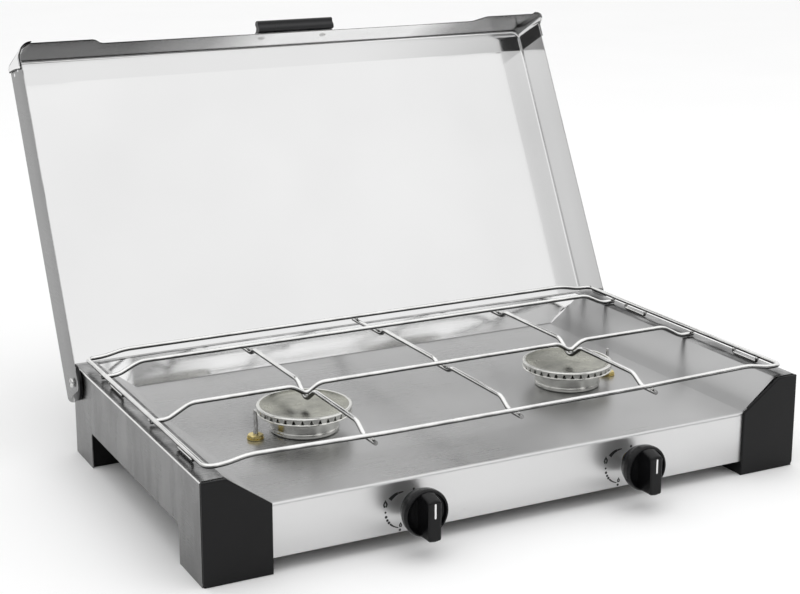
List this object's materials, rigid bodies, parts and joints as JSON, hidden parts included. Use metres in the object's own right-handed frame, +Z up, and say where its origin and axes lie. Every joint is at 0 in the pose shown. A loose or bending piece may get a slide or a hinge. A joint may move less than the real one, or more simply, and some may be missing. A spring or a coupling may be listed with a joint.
{
  "type": "camp stove",
  "caption": "Table-top gas camp stove: a folded steel tray base with burners, a wire pan grate, turning taps and a hinged lid that stands open as a wind shield.",
  "frame": {"origin": "on the standing surface, under the middle of the whole stove's box with the lid open", "axes": "+X to the user's right, +Y away from the user, +Z up"},
  "size_m": [0.5768, 0.5188, 0.3729],
  "materials": {
    "sheet_steel": "brushed stainless sheet",
    "lid_steel": "fine brushed stainless sheet",
    "chromed_wire": "bright plated wire",
    "spun_steel": "spun stainless, faintly warm",
    "black_plastic": "fine-grained black moulding",
    "knob_plastic": "satin black moulding",
    "handle_plastic": "satin black extrusion",
    "brass": "turned brass",
    "bright_steel": "bright turned steel",
    "tube_steel": "drawn tube"
  },
  "bodies": {
    "base": {"burner_cap_left": "spun_steel", "burner_cap_right": "spun_steel", "burner_crown_left": "spun_steel", "burner_crown_right": "spun_steel", "burner_cup_left": "spun_steel", "burner_cup_right": "spun_steel", "corner_cap_left": "black_plastic", "corner_cap_right": "black_plastic", "flame_probe_left": "bright_steel", "flame_probe_right": "bright_steel", "gas_pipe": "tube_steel", "grate_bar_left": "chromed_wire", "grate_bar_right": "chromed_wire", "grate_centre_bar": "chromed_wire", "grate_foot_front_left": "chromed_wire", "grate_foot_front_right": "chromed_wire", "grate_foot_rear_left": "chromed_wire", "grate_foot_rear_right": "chromed_wire", "grate_frame_back": "chromed_wire", "grate_frame_front": "chromed_wire", "grate_frame_left": "chromed_wire", "grate_frame_right": "chromed_wire", "grate_rail_middle": "chromed_wire", "grate_rail_rear": "chromed_wire", "hinge_nut_left": "bright_steel", "hinge_nut_right": "bright_steel", "hinge_screw_left": "bright_steel", "hinge_screw_right": "bright_steel", "hinge_spacer_left": "black_plastic", "hinge_spacer_right": "black_plastic", "hob_top": "sheet_steel", "hose_nipple": "brass", "inlet_nut": "brass", "jet_left": "brass", "jet_right": "brass", "mixing_tube_left": "tube_steel", "mixing_tube_right": "tube_steel", "probe_nut_left": "brass", "probe_nut_right": "brass", "rear_foot_left": "black_plastic", "rear_foot_right": "black_plastic", "rear_panel": "sheet_steel", "side_panel_left": "sheet_steel", "side_panel_right": "sheet_steel", "valve_body_left": "brass", "valve_body_right": "brass"},
    "lid": {"lid_pan": "lid_steel", "lid_handle": "handle_plastic", "lid_rivet_left": "bright_steel", "lid_rivet_right": "bright_steel"},
    "push_left": {"valve_plunger_left": "bright_steel"},
    "dial_left": {"knob_left": "knob_plastic", "spindle_left": "bright_steel"},
    "push_right": {"valve_plunger_right": "bright_steel"},
    "dial_right": {"knob_right": "knob_plastic", "spindle_right": "bright_steel"}
  },
  "joints": [
    {"name": "lid_hinge", "type": "hinge", "parent": "base", "child": "lid", "pos_m": [0, 0.08664, 0.071], "axis": [1, 0, 0], "range_deg": [0, 117]},
    {"name": "push_left", "type": "slide", "parent": "base", "child": "push_left", "axis": [0, 1, 0], "range_m": [0, 0.004], "stiffness_N_per_m": 1200, "springref_m": -0.002},
    {"name": "turn_left", "type": "hinge", "parent": "push_left", "child": "dial_left", "pos_m": [-0.1035, -0.23136, 0.036], "axis": [0, -1, 0], "range_deg": [0, 180]},
    {"name": "push_right", "type": "slide", "parent": "base", "child": "push_right", "axis": [0, 1, 0], "range_m": [0, 0.004], "stiffness_N_per_m": 1200, "springref_m": -0.002},
    {"name": "turn_right", "type": "hinge", "parent": "push_right", "child": "dial_right", "pos_m": [0.1035, -0.23136, 0.036], "axis": [0, -1, 0], "range_deg": [0, 180]}
  ]
}
